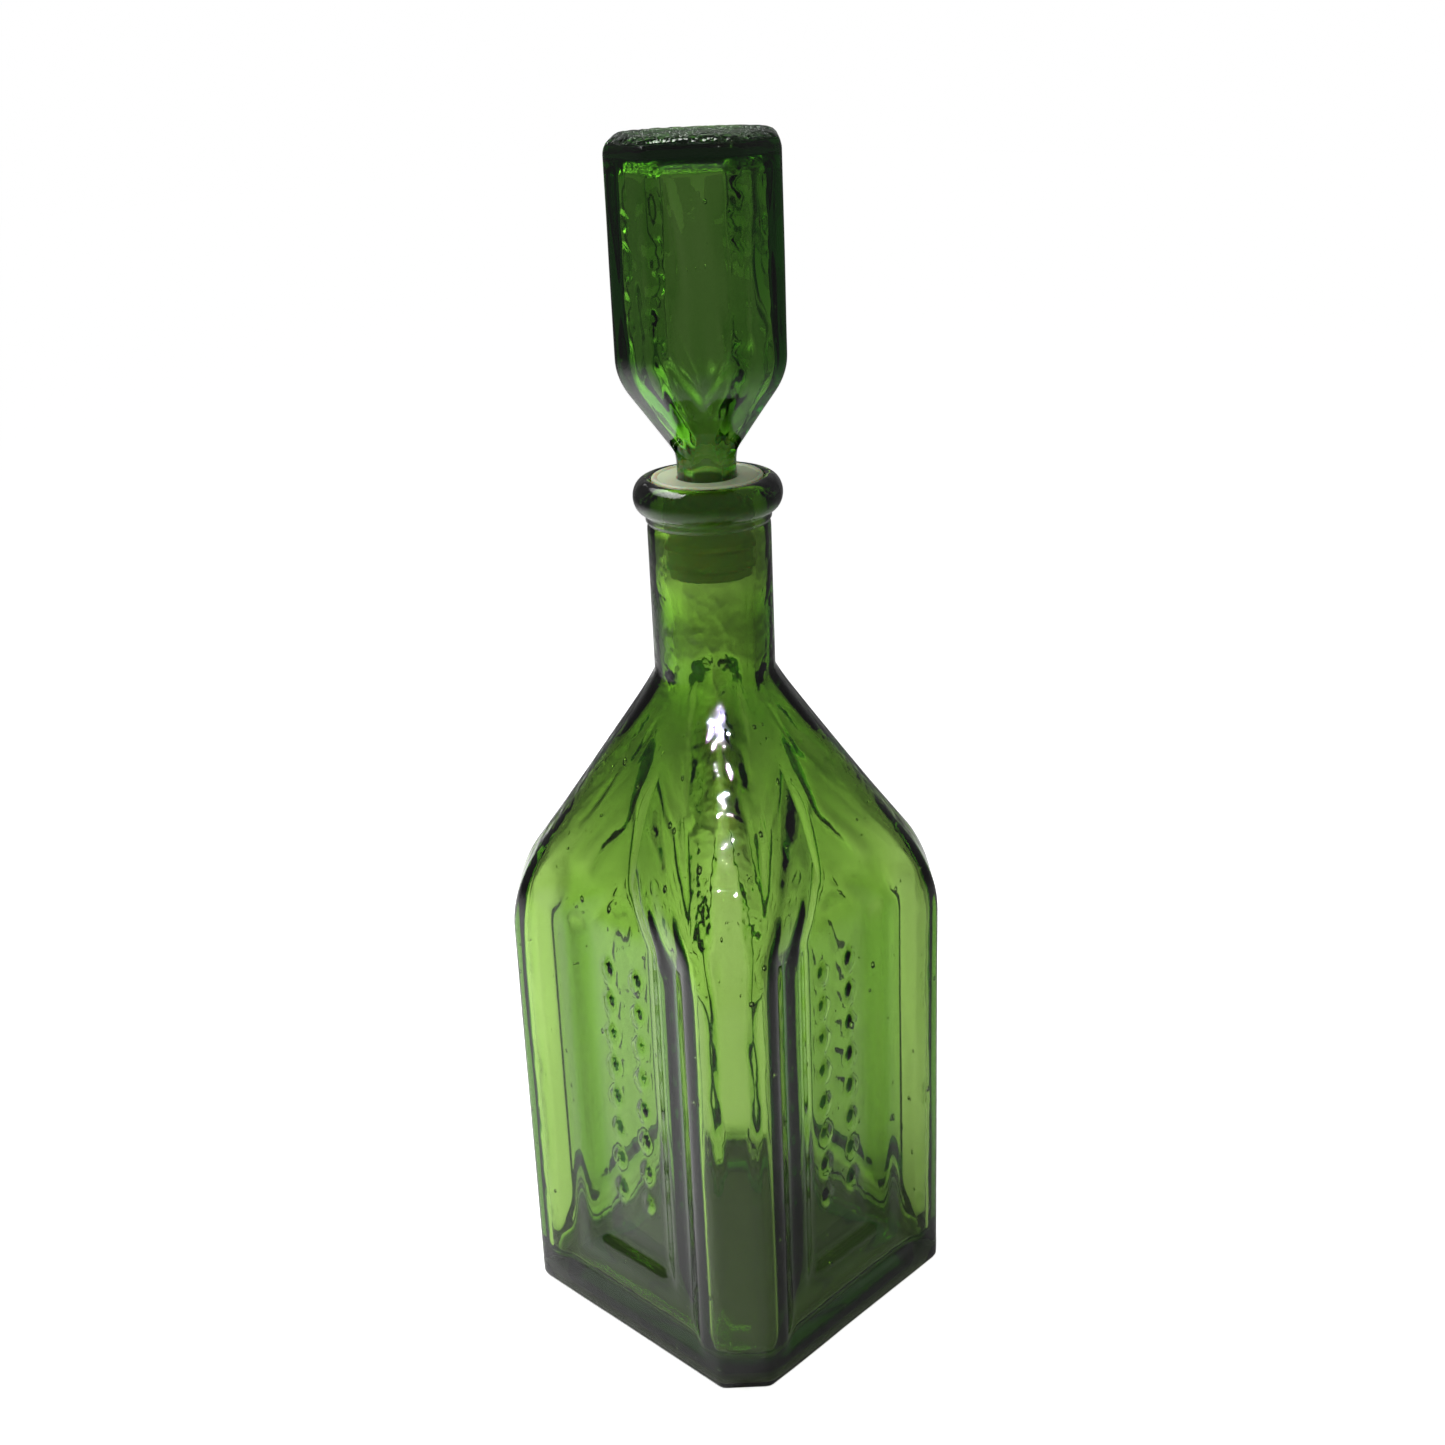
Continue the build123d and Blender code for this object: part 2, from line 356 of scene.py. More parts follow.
class Waves:
    """Smooth random unevenness in space, the same for the same seed."""

    def __init__(self, seed: int, length: float, stretch: float, count: int = 24) -> None:
        """Draw the waves.

        Args:
            seed: start of the random draws.
            length: typical distance between crests, in millimetres.
            stretch: how much longer the waves are upright than across.
            count: number of waves added up.
        """
        draw = np.random.default_rng(seed)
        way = draw.normal(size=(count, 3))
        way /= np.linalg.norm(way, axis=1)[:, None]
        way *= 2 * math.pi / (length * draw.uniform(0.6, 1.6, (count, 1)))
        way[:, 2] /= stretch
        self.way = way
        self.phase = draw.uniform(0, 2 * math.pi, count)
        self.gain = 1 / math.sqrt(count)

    def at(self, points: Array) -> Array:
        """Height of the unevenness at points, mostly between -1 and 1."""
        return np.sin(points @ self.way.T + self.phase).sum(-1) * self.gain


@dataclass(frozen=True)
class Wall:
    """A wall that stands upright, then leans in above a soft turn, in millimetres."""

    half: float  # from the axis, below the turn
    turn: float  # height of the turn
    lean: float  # in degrees, above the turn
    ease: float  # half the height over which it turns

    def reach(self, height: float) -> float:
        """Distance of the wall from the axis at a height."""
        slope = math.tan(math.radians(self.lean))
        return self.half - slope * float(bend(height - self.turn, self.ease))

    def tilt(self, height: float) -> float:
        """Angle of the wall from upright at a height, in radians."""
        share = (height - self.turn + self.ease) / (2 * self.ease)
        return math.radians(self.lean) * min(max(share, 0.0), 1.0)

    def rise(self, height: float) -> float:
        """Distance up along the wall to a height."""
        over = max(height - self.turn, 0.0)
        return height + over * (1 / math.cos(math.radians(self.lean)) - 1)


@dataclass(frozen=True)
class Step:
    """One step of a pointed panel: its outline, its depth and its sloping edge."""

    half: float  # half its width
    foot: float  # where it begins
    spring: float  # where its sides end and its point begins
    tip: float
    run: float  # width of the sloping edge
    top_run: float  # width of that edge along the point
    depth: float

    def sink(self, across: Array, rise: Array) -> Array:
        """How far the wall sinks.

        Args:
            across: place of each point across the face, from its middle.
            rise: place of each point up along the wall.

        Returns:
            Distance that each point sinks.
        """
        slope = self.half / (self.tip - self.spring)
        side = (self.half - abs(across)) / self.run
        point = (self.tip - rise) * slope - abs(across)
        point = point * math.cos(math.atan(slope)) / self.top_run
        foot = (rise - self.foot) / self.run
        inside = np.minimum(np.minimum(side, point), foot)
        return self.depth * ramp(inside, EDGE_SOFTNESS)


@dataclass(frozen=True)
class Pads:
    """Columns of raised lozenges on a panel."""

    width: float
    height: float
    rise: float
    pitch: float  # from one lozenge to the next, up the column
    gap: float  # between the middles of the two columns
    middle: float  # height of the columns' middle
    rows: int

    def lift(self, across: Array, rise: Array) -> Array:
        """How far the lozenges stand out.

        Args:
            across: place of each point across the face, from its middle.
            rise: place of each point up along the wall.

        Returns:
            Distance that each point is raised.
        """
        low = self.middle - self.pitch * (self.rows - 1) / 2
        row = np.clip(np.round((rise - low) / self.pitch), 0, self.rows - 1)
        up = abs(rise - low - row * self.pitch) / (self.height / 2)
        out = abs(abs(across) - self.gap / 2) / (self.width / 2)
        return self.rise * ramp((1.05 - up - out) * 2.6, 0.2)


# --------------------------------------------------------------- mesh tools


def clear_selection() -> None:
    """Deselect everything, in object mode."""
    if bpy.context.object and bpy.context.object.mode != "OBJECT":
        bpy.ops.object.mode_set(mode="OBJECT")
    bpy.ops.object.select_all(action="DESELECT")


def select(*pieces: Piece) -> None:
    """Select these pieces only, with the last one active.

    Args:
        pieces: the pieces.
    """
    clear_selection()
    for piece in pieces:
        piece.select_set(True)
    bpy.context.view_layer.objects.active = pieces[-1]


def settle(piece: Piece) -> None:
    """Bring a piece's place, turn and size into its mesh."""
    select(piece)
    bpy.ops.object.transform_apply(location=True, rotation=True, scale=True)


def close_up(gap: float) -> None:
    """Merge the active piece's doubles and turn its faces outward.

    Args:
        gap: distance within which points are merged, in metres.
    """
    bpy.ops.object.mode_set(mode="EDIT")
    bpy.ops.mesh.select_all(action="SELECT")
    bpy.ops.mesh.remove_doubles(threshold=gap)
    bpy.ops.mesh.normals_make_consistent(inside=False)
    bpy.ops.object.mode_set(mode="OBJECT")


def rolled_sheet(name: str, points: Array) -> Piece:
    """Roll a flat grid up into a closed skin.

    Args:
        name: name of the new piece.
        points: place of each vertex in metres, by ring, column and axis. The first and the
            last ring are a single point each, and the columns go once round.

    Returns:
        The new object, closed and with its faces outward.
    """
    rings, columns = points.shape[:2]
    clear_selection()
    bpy.ops.mesh.primitive_grid_add(x_subdivisions=columns, y_subdivisions=rings - 1, size=1)
    piece = bpy.context.object
    piece.name = piece.data.name = name
    flat = np.empty(len(piece.data.vertices) * 3)
    piece.data.vertices.foreach_get("co", flat)
    flat = flat.reshape(-1, 3)
    column = np.rint((flat[:, 0] + 0.5) * columns).astype(int) % columns
    ring = np.rint((flat[:, 1] + 0.5) * (rings - 1)).astype(int)
    piece.data.vertices.foreach_set("co", points[ring, column].ravel())
    piece.data.update()
    close_up(1e-7)
    bpy.ops.object.shade_smooth()
    return piece


def add_bubbles(piece: Piece, places: Array, sizes: Array) -> None:
    """Add small closed hollows inside a piece's glass.

    Args:
        piece: the glass piece that gets them.
        places: centre of each bubble, in metres.
        sizes: half size of each bubble along each axis, in metres.
    """
    clear_selection()
    bpy.ops.mesh.primitive_ico_sphere_add(subdivisions=1, radius=1)
    seed = bpy.context.object
    ball = np.array([v.co for v in seed.data.vertices])
    faces = np.array([tuple(p.vertices)[::-1] for p in seed.data.polygons])
    bpy.data.objects.remove(seed)
    points = (places[:, None] + ball[None] * sizes[:, None]).reshape(-1, 3)
    around = (faces[None] + (np.arange(len(places)) * len(ball))[:, None, None]).reshape(-1, 3)
    mesh = bpy.data.meshes.new("bubbles")
    mesh.from_pydata(points.tolist(), [], around.tolist())
    hollows = bpy.data.objects.new("bubbles", mesh)
    bpy.context.scene.collection.objects.link(hollows)
    select(hollows, piece)
    bpy.ops.object.join()
    bpy.ops.object.shade_smooth()


# -------------------------------------------------------------- glass pieces


@dataclass(frozen=True)
class Hollow:
    """The inside of a square glass body, in millimetres."""

    wall: float  # glass beside the corner strips
    strip_wall: float
    shoulder_wall: float
    thicken_over: float  # height over which the shoulder's wall gets thicker
    press: Step  # how the panels show, softened, on the inside
    floor: float
    softness: float  # radius round the edge of the floor
    blend: float  # how softly the faces meet the corner strips
    ring_gap: float


def softened(rings: Array, passes: int, share: Array) -> Array:
    """Smooth a sheet of rings.

    Args:
        rings: place of each point, by ring, column and axis.
        passes: how often each point moves towards its neighbours.
        share: how much of the smoothing each ring takes.

    Returns:
        The smoothed sheet.
    """
    wall = rings.copy()
    weight = share[1:-1, None, None]
    for _ in range(passes):
        along = (np.roll(wall, 1, 1) + 2 * wall + np.roll(wall, -1, 1)) / 4
        mean = (along[:-2] + 2 * along[1:-1] + along[2:]) / 4
        wall[1:-1] += weight * (mean - wall[1:-1])
    return wall


@dataclass
class SquareGlass:
    """A square hollow glass body with a round neck, pressed from a rolled sheet."""

    name: str
    face: Wall
    corner: Wall
    steps: tuple[Step, ...]
    neck_base: float
    neck_radius: float
    neck_profile: Outline  # up outside, then down inside
    bore: float
    hollow: Hollow
    heel: float  # radius round the edge of the foot
    face_columns: tuple[float, ...]  # share of the half face
    strip_columns: int
    ring_gap: float
    outer_wave: float  # depth of the unevenness outside
    inner_wave: float
    seed: int
    push_half: float = 0.0  # half width of the shallow hollow under the foot
    push_depth: float = 0.0
    pads: Union[Pads, None] = None
    stipple: float = 0.0  # height of the grain under the foot
    fine_share: float = 0.2  # of the unevenness, the rest being broad
    cord_place: float = 4.4  # from the middle of a corner strip
    cord_rise: float = 0.0
    cord_width: float = 0.55
    soften: int = 1
    shoulder_soften: int = 14
    heel_turns: int = 6
    floor_turns: int = 8
    floor_rings: int = 12
    outer_rings: int = field(default=0, init=False)

    def columns(self) -> tuple[Array, Array, Array]:
        """Lay out the columns, once round.

        Returns:
            Share across the face, signed share across the strip and quarter of each column.
        """
        strip = np.linspace(0, 0.5, self.strip_columns + 1)[1:]
        near = [-x for x in self.face_columns[::-1] if x > 0]
        share = np.array(near + list(self.face_columns))
        across = np.concatenate((-np.ones(len(strip) - 1), share, np.ones(len(strip))))
        over = np.concatenate((-strip[-2::-1], np.zeros(len(share)), strip))
        quarter = np.repeat(np.arange(SIDES), len(across))
        return np.tile(across, SIDES), np.tile(over, SIDES), quarter

    def outline(self, height: float) -> tuple[Array, Array, Array]:
        """Draw the first quarter of the body's outline, without its panels.

        Args:
            height: height of the outline.

        Returns:
            Place of each column, out and across, and its place across the face, which is
            far off for a column on a corner strip.
        """
        across, over, _ = self.columns()
        depth = self.face.reach(height)
        breadth = math.sqrt(2) * self.corner.reach(height) - depth
        x = depth + abs(over) * (breadth - depth)
        y = across * breadth + np.sign(over) * abs(over) * (depth - breadth)
        return x, y, np.where(over == 0, y, FAR_OFF)

    def turned(self, x: Array, y: Array, z: Numbers) -> Array:
        """Turn columns of the first quarter to their own quarter.

        Args:
            x: distance of each column out from the axis.
            y: distance of each column across.
            z: height of each column.

        Returns:
            Place of each column.
        """
        quarter = self.columns()[2] * math.pi / 2
        out = x * np.cos(quarter) - y * np.sin(quarter)
        side = x * np.sin(quarter) + y * np.cos(quarter)
        return np.stack((out, side, z + 0 * x), -1)

    def body_ring(self, height: float) -> Array:
        """Draw one ring of the outer wall, with its panels, up to the neck.

        Args:
            height: height of the ring, before its panels sink.

        Returns:
            Place of each column.
        """
        x, y, across = self.outline(min(height, self.neck_base))
        rise = self.face.rise(height)
        sink = sum(step.sink(across, rise) for step in self.steps)
        tilt = self.face.tilt(height)
        x = x - sink * math.cos(tilt)
        z = height - sink * math.sin(tilt)
        radius = np.hypot(x, y)
        gain = (self.neck_radius + bend(radius - self.neck_radius, NECK_SOFTNESS)) / radius
        return self.turned(x * gain, y * gain, z)

    def inset_ring(self, inset: float, height: float) -> Array:
        """Draw one ring of the foot.

        Args:
            inset: how far it is drawn in from the outline.
            height: height of the ring.

        Returns:
            Place of each column.
        """
        x, y, _ = self.outline(0.0)
        gain = max(1 - inset / self.face.half, 0)
        return self.turned(x * gain, y * gain, height)

    def way(self, height: float) -> Array:
        """Direction of each column from the axis, as an angle in its own quarter."""
        x, y, _ = self.outline(min(height, self.neck_base))
        return np.arctan2(y, x)

    def round_ring(self, radius: float, height: float) -> Array:
        """One round ring of the neck or the bore."""
        return self.spread(self.way(self.neck_base), radius, height)

    def spread(self, way: Array, radius: Numbers, height: float) -> Array:
        """Place of each column from its direction, its radius and the ring's height."""
        return self.turned(radius * np.cos(way), radius * np.sin(way), height)

    def hollow_ring(self, height: float, inset: float = 0.0, share: float = 1.0) -> Array:
        """One ring of the hollow, which follows the outside more softly.

        Args:
            height: height of the ring.
            inset: how far the ring is drawn in from the hollow's wall.
            share: factor on the whole ring, below one on the floor.

        Returns:
            Place of each column.
        """
        hollow = self.hollow
        way = self.way(height)
        tilt = self.face.tilt(height)
        part = float(ramp((height - self.face.turn) / hollow.thicken_over, 0.2))
        wall = (hollow.wall + (hollow.shoulder_wall - hollow.wall) * part) / math.cos(tilt)
        rise = self.face.rise(height)
        flat = self.face.reach(height) - wall
        face = np.full_like(way, flat)
        for _ in range(3):
            face = flat - hollow.press.sink(face * np.tan(way), rise)
        corner = self.corner.reach(height)
        corner -= hollow.strip_wall / math.cos(self.corner.tilt(height))
        face = (face - inset) / np.cos(way)
        strip = (corner - inset) / np.cos(math.pi / 4 - abs(way))
        radius = -hollow.blend * np.logaddexp(-face / hollow.blend, -strip / hollow.blend)
        radius = self.bore + bend(radius - self.bore, self.bore * BORE_SOFTNESS)
        return self.spread(way, radius * share, height)

    def foot_rings(self) -> list[Array]:
        """Draw the rings from the middle of the foot out to the heel.

        Returns:
            The rings, from the middle outwards.
        """
        half = self.face.half
        rings = []
        count = max(8, int(half / (self.ring_gap * 1.7)))
        for share in np.linspace(0, 1, count)[:-1]:
            place = share * (half - self.heel)
            inside = np.clip((self.push_half - place) / PUSH_RUN + 1e-9, 0, 1)
            rings.append(self.inset_ring(half - place, self.push_depth * float(inside)))
        for turn in np.linspace(0, math.pi / 2, self.heel_turns):
            inset = self.heel * (1 - math.sin(turn))
            rings.append(self.inset_ring(inset, self.heel * (1 - math.cos(turn))))
        return rings

    def hollow_rings(self) -> list[Array]:
        """Draw the rings of the hollow.

        Returns:
            The rings, from the bore down to the middle of its floor.
        """
        soft, floor = self.hollow.softness, self.hollow.floor
        heights = np.arange(self.neck_base - 0.5, floor + soft, -self.hollow.ring_gap)
        rings = [self.hollow_ring(height) for height in heights]
        for turn in np.linspace(0, math.pi / 2, self.floor_turns):
            height = floor + soft * (1 - math.sin(turn))
            rings.append(self.hollow_ring(height, soft * (1 - math.cos(turn))))
        for share in np.linspace(1, 0, self.floor_rings)[1:]:
            rings.append(self.hollow_ring(floor, soft, share))
        return rings

    def cords(self, points: Array) -> Array:
        """Height of the flow lines inside, which run down beside the corner strips.

        Args:
            points: places on the skin.

        Returns:
            Height of the lines there, from 0 to 1.5.
        """
        over = abs(abs(points[..., 0]) - abs(points[..., 1])) / math.sqrt(2)
        stray = Waves(self.seed + 3, 9.0, 1.0).at(points)
        broken = Waves(self.seed + 4, 5.0, 1.0).at(points)
        line = np.exp(-(((over - self.cord_place - 0.5 * stray) / self.cord_width) ** 2))
        return line * np.clip(0.35 + broken, 0, 1.5)

    def uneven(self, skin: Array, outer: int) -> Array:
        """Add the unevenness of hand-finished glass to both sides of the wall.

        Args:
            skin: rings of the closed skin.
            outer: number of the rings that lie outside.

        Returns:
            The skin with its unevenness.
        """
        points = skin.copy()
        radius = np.linalg.norm(points[..., :2], axis=-1, keepdims=True)
        way = points[..., :2] / np.maximum(radius, 1e-6)
        broad = Waves(self.seed, 30.0, 1.6).at(points)
        fine = Waves(self.seed + 1, 8.0, 3.0).at(points)
        wave = (1 - self.fine_share) * broad + self.fine_share * fine
        outside = np.arange(len(points))[:, None] < outer
        inner = self.inner_wave * wave - self.cord_rise * self.cords(points)
        push = np.where(outside, self.outer_wave * (wave - 1.2), inner)
        height = points[..., 2]
        low = np.clip((self.neck_base - 4 - height) / 8, 0, 1)
        keep = low * np.clip(radius[..., 0] / 8, 0, 1)
        points[..., :2] += way * (push * keep)[..., None]
        if self.stipple:
            grain = Waves(self.seed + 2, 1.9, 1.0).at(points)
            foot = np.clip(1 - height / 1.2, 0, 1) * outside
            points[..., 2] += self.stipple * np.clip(grain + 0.6, 0, 2) * foot
        return points

    def skin(self) -> Array:
        """Every ring of the closed skin, in millimetres.

        Returns:
            Place of each vertex, by ring, column and axis.
        """
        rings = self.foot_rings()
        start = self.heel + self.ring_gap / 2
        heights = np.arange(start, self.neck_base + 1, self.ring_gap)
        foot = len(rings)
        wall = np.array([*rings, *(self.body_ring(height) for height in heights)])
        wall = softened(wall, self.soften, np.ones(len(wall)))
        shoulder = np.clip((wall[..., 2].mean(1) - self.face.turn - 4) / 14, 0, 1)
        wall = softened(wall, self.shoulder_soften, shoulder)
        if self.pads:
            self.press_pads(wall[foot:])
        self.outer_rings = len(wall)
        neck = [self.round_ring(*point) for point in self.neck_profile]
        return self.uneven(np.array([*wall, *neck, *self.hollow_rings()]), self.outer_rings)

    def press_pads(self, wall: Array) -> None:
        """Raise the lozenges on the four faces of the wall.

        Args:
            wall: rings of the outer wall, which are changed.
        """
        quarter = self.columns()[2] * math.pi / 2
        out = np.stack((np.cos(quarter), np.sin(quarter)), -1)
        side = np.stack((-np.sin(quarter), np.cos(quarter)), -1)
        across = (wall[..., :2] * side).sum(-1)
        lift = self.pads.lift(across, wall[..., 2])
        wall[..., :2] += out * lift[..., None]

    def bubbles(self, skin: Array, count: int) -> tuple[Array, Array]:
        """Choose bubbles within the wall.

        Args:
            skin: rings of the closed skin.
            count: how many bubbles to try.

        Returns:
            Their centres and half sizes, in millimetres.
        """
        draw = np.random.default_rng(self.seed + 7)
        inner_start = self.outer_rings + len(self.neck_profile)
        inner = skin[inner_start : -self.floor_rings]
        places, sizes = [], []
        for _ in range(count):
            ring = draw.integers(18, self.outer_rings - 8)
            column = draw.integers(0, skin.shape[1])
            outside = skin[ring, column]
            near = inner[np.argmin(abs(inner[:, column, 2] - outside[2])), column]
            size = 0.13 + 0.55 * draw.random() ** 3
            share = draw.uniform(0.3, 0.7)
            long = draw.uniform(1.0, 2.2)
            if np.linalg.norm(outside - near) > 4.5 * size:
                places.append(outside + share * (near - outside))
                sizes.append((size, size, size * long))
        return np.array(places), np.array(sizes)

    def model(self, bubble_count: int) -> Piece:
        """Roll the skin up into a piece and add its bubbles.

        Args:
            bubble_count: how many bubbles to try.

        Returns:
            The finished glass.
        """
        skin = self.skin()
        piece = rolled_sheet(self.name, skin * MM)
        places, sizes = self.bubbles(skin, bubble_count)
        add_bubbles(piece, places * MM, sizes * MM)
        return piece


@dataclass
class Bottle:
    """The square bottle with its stepped panels, neck and rolled lip."""

    lip_top: float
    neck_base: float = 154.1
    neck_radius: float = 13.2
    seat: float = 196.4
    seat_radius: float = 12.1
    bore: float = 9.2
    bore_below: float = 8.2  # under the sleeve
    crease_rise: float = 34.2  # from the foot of the neck to the crease under the ring
    ring_height: float = 2.0
    roll: float = 2.95  # how far the rolled lip stands out
    bubble_count: int = 420
    half_face: float = 30.4  # half the width of a face between its corner strips

    def profile(self) -> Outline:
        """Draw the half outline.

        Returns:
            Its points, up the neck, over the lip and down the bore.
        """
        r, base, lip = self.neck_radius, self.neck_base, self.lip_top
        points = [(r, z) for z in np.linspace(base + 1.6, base + 32.5, 15)]
        crease = base + self.crease_rise
        points += [(r - 0.05, crease - 0.7), (r - 0.22, crease - 0.25), (r - 0.3, crease)]
        points += [(r - 0.1, crease + 0.3), (r + 0.18, crease + 0.6), (r + 0.25, crease + 0.9)]
        lip_base = crease + self.ring_height
        points += [(r + 0.25, lip_base - 0.35), (r + 0.3, lip_base - 0.1)]
        middle = (lip_base + lip) / 2
        tall = (lip - lip_base) / 2
        for turn in np.linspace(-75, 84, 18):
            way = math.radians(turn)
            points.append((r - 0.25 + self.roll * math.cos(way), middle + tall * math.sin(way)))
        rim, seat, bore, below = self.seat_radius, self.seat, self.bore, self.bore_below
        points += [(rim + 0.4, lip), (rim + 0.1, lip - 0.2), (rim, lip - 0.6)]
        points += [(rim, seat + 0.3), (rim - 0.3, seat), (bore + 0.6, seat)]
        points += [(bore + 0.1, seat - 0.2), (bore, seat - 0.7)]
        points += [(bore, z) for z in np.linspace(seat - 2.5, seat - 21.0, 8)]
        points += [(bore - 0.3, seat - 23.0), (below + 0.3, seat - 25.5)]
        points += [(below, z) for z in np.linspace(seat - 27.5, base + 1.0, 7)]
        return tuple(points)

    def build(self) -> Piece:
        """Model the bottle.

        Returns:
            The finished piece.
        """
        marks = (0.0, 1.1, 7.3, 13.7, 25.3, self.half_face)
        gaps = (1.1, 0.62, 1.07, 0.83, 1.02)
        runs = zip(marks, marks[1:], gaps)
        near = np.concatenate([np.arange(start, end - 0.1, gap) for start, end, gap in runs])
        near = np.append(near, self.half_face) / self.half_face
        glass = SquareGlass(
            name="bottle_glass",
            face=Wall(38.1, 107.0, 28.8, 6.2),
            corner=Wall(48.44, 105.6, 36.0, 10.0),
            steps=(
                Step(24.6, 6.9, 106.0, 136.0, 5.2, 6.4, 2.4),
                Step(14.4, 17.0, 104.5, 124.5, 4.2, 4.2, 2.4),
            ),
            neck_base=self.neck_base,
            neck_radius=self.neck_radius,
            neck_profile=self.profile(),
            bore=self.bore_below,
            hollow=Hollow(
                wall=2.8,
                strip_wall=3.4,
                shoulder_wall=6.0,
                thicken_over=30.0,
                press=Step(26.5, 5.0, 105.0, 137.0, 13.0, 15.0, 6.4),
                floor=5.0,
                softness=5.0,
                blend=0.45,
                ring_gap=2.9,
            ),
            heel=1.4,
            face_columns=tuple(near),
            strip_columns=5,
            ring_gap=1.2,
            outer_wave=0.06,
            inner_wave=0.22,
            cord_rise=0.45,
            seed=11,
            push_half=27.0,
            push_depth=1.6,
            pads=Pads(
                width=4.6, height=6.2, rise=0.7, pitch=8.2, gap=9.0, middle=64.0, rows=8
            ),
        )
        return glass.model(self.bubble_count)

    def dress(self, piece: Piece) -> None:
        """Give the bottle its glass and its place in the frame.

        Args:
            piece: the bottle's piece.
        """
        piece.data.materials.clear()
        piece.data.materials.append(BOTTLE_GLASS.material())
        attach(piece, "bottle")
        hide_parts("bottle")


@dataclass
class Stopper:
    """The hollow stopper: a small copy of the bottle standing on its head."""

    top: float
    end: float
    twist: float = 43.5  # in degrees, from the body
    head: float = 34.8  # across the flats
    cut: float = 8.0  # what a cut-off corner takes from each flat
    corner_turn: float = 45.9
    corner_lean: float = 34.2
    shank: float = 6.3
    bore: float = 3.2
    bubble_count: int = 40

    def profile(self, base: float, length: float) -> Outline:
        """Draw the half outline of the shank and its bore.

        Args:
            base: distance of the shank's start from the flat top.
            length: distance of its end.

        Returns:
            Radius of each point and its distance from the flat top.
        """
        shank, bore = self.shank, self.bore
        points = [(shank, z) for z in np.linspace(base + 1.4, length - 0.6, 16)]
        points += [(shank - 0.15, length - 0.15), (shank - 0.5, length), (bore + 0.4, length)]
        points += [(bore + 0.1, length - 0.1), (bore, length - 0.4)]
        points += [(bore, z) for z in np.linspace(length - 1.5, base + 1.0, 14)]
        return tuple(points)

    def build(self) -> Piece:
        """Model the stopper.

        Returns:
            The finished piece.
        """
        length = self.top - self.end
        corner_half = (self.head - self.cut) / math.sqrt(2)
        lean = math.radians(self.corner_lean)
        base = self.corner_turn + (corner_half - self.shank) / math.tan(lean)
        near = np.arange(0, 1.0001, 1 / 18)
        glass = SquareGlass(
            name="stopper_glass",
            face=Wall(self.head / 2, 47.0, 33.8, 3.9),
            corner=Wall(corner_half, self.corner_turn, self.corner_lean, 4.6),
            steps=(Step(7.0, 5.3, 40.9, 53.9, 0.9, 0.8, 0.8),),
            neck_base=base,
            neck_radius=self.shank,
            neck_profile=self.profile(base, length),
            bore=self.bore,
            hollow=Hollow(
                wall=3.7,
                strip_wall=4.2,
                shoulder_wall=3.6,
                thicken_over=12.0,
                press=Step(11.0, 1.0, 40.0, 60.0, 5.0, 4.0, 0.9),
                floor=4.6,
                softness=3.0,
                blend=0.5,
                ring_gap=1.1,
            ),
            heel=3.2,
            face_columns=tuple(near),
            strip_columns=6,
            ring_gap=0.6,
            outer_wave=0.05,
            inner_wave=0.8,
            fine_share=0.45,
            cord_place=3.1,
            cord_rise=1.2,
            seed=31,
            stipple=0.12,
            shoulder_soften=6,
        )
        piece = glass.model(self.bubble_count)
        turn = Matrix.Rotation(math.radians(self.twist), 4, "Z")
        flip = turn @ Matrix.Rotation(math.pi, 4, "X")
        piece.matrix_world = Matrix.Translation((0, 0, self.top * MM)) @ flip
        settle(piece)
        return piece

    def dress(self, piece: Piece) -> None:
        """Give the stopper its glass and its place in the frame.

        Args:
            piece: the stopper's piece.
        """
        piece.data.materials.clear()
        piece.data.materials.append(STOPPER_GLASS.material())
        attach(piece, "stopper")
        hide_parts("stopper")


